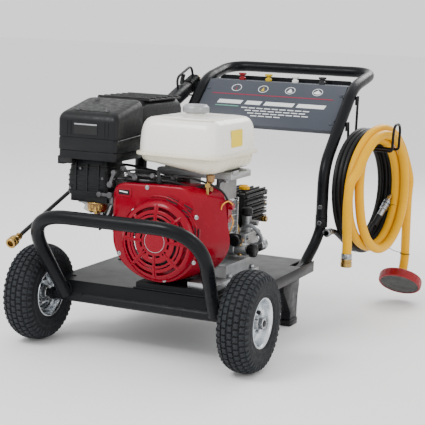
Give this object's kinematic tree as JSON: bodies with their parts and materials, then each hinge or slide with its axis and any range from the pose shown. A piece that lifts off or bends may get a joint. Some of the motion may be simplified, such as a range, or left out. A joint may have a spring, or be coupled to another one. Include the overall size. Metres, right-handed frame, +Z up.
{
  "type": "pressure washer",
  "caption": "Petrol pressure washer on a two-wheeled cart with push handle, engine, pump, lance gun and coiled hoses on a side hook.",
  "frame": {"origin": "middle of the base, on the ground under the centre of the box of everything but the hoses", "axes": "+Z up, +Y towards the push handle, the engine recoil side and the wheels are at -Y, the hose hook is at +X"},
  "size_m": [0.841, 1.3182, 0.7312],
  "materials": {
    "frame_paint": "satin",
    "deck_paint": "satin textured",
    "panel_paint": "satin",
    "tyre_rubber": "matte",
    "rim_zinc": "zinc plated",
    "red_paint": "gloss",
    "tank_paint": "gloss",
    "black_plastic": "moulded grain",
    "black_steel": "satin",
    "cast_alloy": "as cast",
    "bare_steel": "zinc plated",
    "brass": "turned",
    "yellow_pvc": "satin",
    "black_rubber": "satin",
    "nozzle_red_pvc": "gloss",
    "nozzle_yellow_pvc": "gloss",
    "nozzle_white_pvc": "gloss",
    "nozzle_black_pvc": "gloss",
    "strainer_red_pvc": "satin"
  },
  "bodies": {
    "cart": {"deck": "deck_paint", "front_arch": "frame_paint", "frame_rail_right": "frame_paint", "frame_rail_left": "frame_paint", "axle": "black_steel", "rear_leg_right": "frame_paint", "rear_foot_right": "black_rubber", "right_axle_nut": "bare_steel", "rear_leg_left": "frame_paint", "rear_foot_left": "black_rubber", "left_axle_nut": "bare_steel", "handle": "frame_paint", "panel": "panel_paint", "hose_hook": "frame_paint", "gun_holder": "frame_paint", "crankcase": "cast_alloy", "cylinder": "cast_alloy", "fan_cover": "red_paint", "recoil_cover": "red_paint", "muffler": "black_steel", "air_cleaner_cover": "black_plastic", "air_cleaner_base": "black_plastic", "carburettor": "black_plastic", "fuel_bowl": "brass", "fuel_tank": "tank_paint", "tank_bracket": "cast_alloy", "oil_alert_unit": "red_paint", "pump_crankcase": "black_steel", "pump_manifold": "cast_alloy", "black_hose_coil": "black_rubber", "black_hose_nut": "bare_steel", "yellow_hose_coil": "yellow_pvc", "yellow_hose_front_end": "yellow_pvc", "yellow_hose_rear_end": "yellow_pvc", "yellow_hose_coupling": "brass", "yellow_hose_strainer": "strainer_red_pvc"},
    "right_wheel": {"right_tyre": "tyre_rubber", "right_rim": "rim_zinc"},
    "left_wheel": {"left_tyre": "tyre_rubber", "left_rim": "rim_zinc"},
    "crank": {"crankshaft": "bare_steel", "flywheel": "cast_alloy"},
    "rope_pulley": {"recoil_pulley": "black_plastic"},
    "pull_grip": {"recoil_grip": "black_plastic"},
    "fuel_cap": {"fuel_cap": "bare_steel"},
    "oil_cap": {"oil_cap": "black_plastic"},
    "pump_cap": {"pump_cap": "yellow_pvc"},
    "unloader_knob": {"unloader_knob": "black_plastic"},
    "throttle_lever": {"throttle_lever": "bare_steel"},
    "choke_lever": {"choke_lever": "bare_steel"},
    "fuel_lever": {"fuel_lever": "bare_steel"},
    "engine_switch": {"engine_switch": "black_plastic"},
    "spray_gun": {"gun_body": "black_plastic", "lance_tube": "black_steel"},
    "gun_trigger": {"gun_trigger": "black_plastic"},
    "lance_coupler": {"lance_coupler": "brass"},
    "nozzle_red": {"nozzle_red": "nozzle_red_pvc"},
    "nozzle_yellow": {"nozzle_yellow": "nozzle_yellow_pvc"},
    "nozzle_white": {"nozzle_white": "nozzle_white_pvc"},
    "nozzle_black": {"nozzle_black": "nozzle_black_pvc"}
  },
  "joints": [
    {"name": "right_wheel_spin", "type": "hinge", "parent": "cart", "child": "right_wheel", "pos_m": [0.26457, -0.47026, 0.13], "axis": [1, 0, 0], "continuous": true},
    {"name": "left_wheel_spin", "type": "hinge", "parent": "cart", "child": "left_wheel", "pos_m": [-0.34943, -0.47026, 0.13], "axis": [1, 0, 0], "continuous": true},
    {"name": "crank_spin", "type": "hinge", "parent": "cart", "child": "crank", "pos_m": [0.00757, -0.37026, 0.308], "axis": [0, 1, 0], "continuous": true},
    {"name": "recoil_pull", "type": "slide", "parent": "cart", "child": "pull_grip", "axis": [-0.3502, -0.7505, 0.5604], "range_m": [0, 0.6], "stiffness_N_per_m": 25},
    {"name": "rope_pulley_spin", "type": "hinge", "parent": "cart", "child": "rope_pulley", "pos_m": [0.00757, -0.48026, 0.308], "axis": [0, 1, 0], "range_deg": [-5, 650]},
    {"name": "fuel_cap_turn", "type": "hinge", "parent": "cart", "child": "fuel_cap", "pos_m": [0.02357, -0.31226, 0.635], "axis": [0, 0, 1], "range_deg": [0, 90]},
    {"name": "oil_cap_turn", "type": "hinge", "parent": "cart", "child": "oil_cap", "pos_m": [0.16257, -0.23826, 0.262], "axis": [1, 0, 0], "continuous": true},
    {"name": "pump_cap_turn", "type": "hinge", "parent": "cart", "child": "pump_cap", "pos_m": [0.04957, -0.02426, 0.398], "axis": [0, 0, 1], "continuous": true},
    {"name": "unloader_knob_turn", "type": "hinge", "parent": "cart", "child": "unloader_knob", "pos_m": [0.09157, -0.09826, 0.34], "axis": [0, 0, 1], "range_deg": [-360, 360]},
    {"name": "throttle_turn", "type": "hinge", "parent": "cart", "child": "throttle_lever", "pos_m": [-0.07243, -0.46226, 0.462], "axis": [0, 1, 0], "range_deg": [0, 50]},
    {"name": "choke_turn", "type": "hinge", "parent": "cart", "child": "choke_lever", "pos_m": [-0.13443, -0.48226, 0.44], "axis": [0, 1, 0], "range_deg": [-50, 0]},
    {"name": "fuel_valve_turn", "type": "hinge", "parent": "cart", "child": "fuel_lever", "pos_m": [-0.13443, -0.48226, 0.412], "axis": [0, 1, 0], "range_deg": [0, 45]},
    {"name": "engine_switch_rock", "type": "hinge", "parent": "cart", "child": "engine_switch", "pos_m": [-0.09543, -0.47126, 0.423], "axis": [1, 0, 0], "range_deg": [0, 16]},
    {"name": "gun_lift", "type": "slide", "parent": "cart", "child": "spray_gun", "axis": [0, 0, 1], "range_m": [0, 0.08]},
    {"name": "trigger_squeeze", "type": "hinge", "parent": "spray_gun", "child": "gun_trigger", "pos_m": [-0.33743, 0.34097, 0.66025], "axis": [-1, 0, 0], "range_deg": [0, 16], "stiffness_Nm_per_rad": 0.4},
    {"name": "coupler_sleeve_slide", "type": "slide", "parent": "spray_gun", "child": "lance_coupler", "axis": [0, 0.9423, 0.3349], "range_m": [0, 0.006], "stiffness_N_per_m": 400},
    {"name": "nozzle_red_pull", "type": "slide", "parent": "cart", "child": "nozzle_red", "axis": [0, 0, 1], "range_m": [0, 0.045]},
    {"name": "nozzle_yellow_pull", "type": "slide", "parent": "cart", "child": "nozzle_yellow", "axis": [0, 0, 1], "range_m": [0, 0.045]},
    {"name": "nozzle_white_pull", "type": "slide", "parent": "cart", "child": "nozzle_white", "axis": [0, 0, 1], "range_m": [0, 0.045]},
    {"name": "nozzle_black_pull", "type": "slide", "parent": "cart", "child": "nozzle_black", "axis": [0, 0, 1], "range_m": [0, 0.045]}
  ],
  "couplings": [
    {"joint": "rope_pulley_spin", "follows": "recoil_pull", "rad_per_m": 18.5}
  ]
}
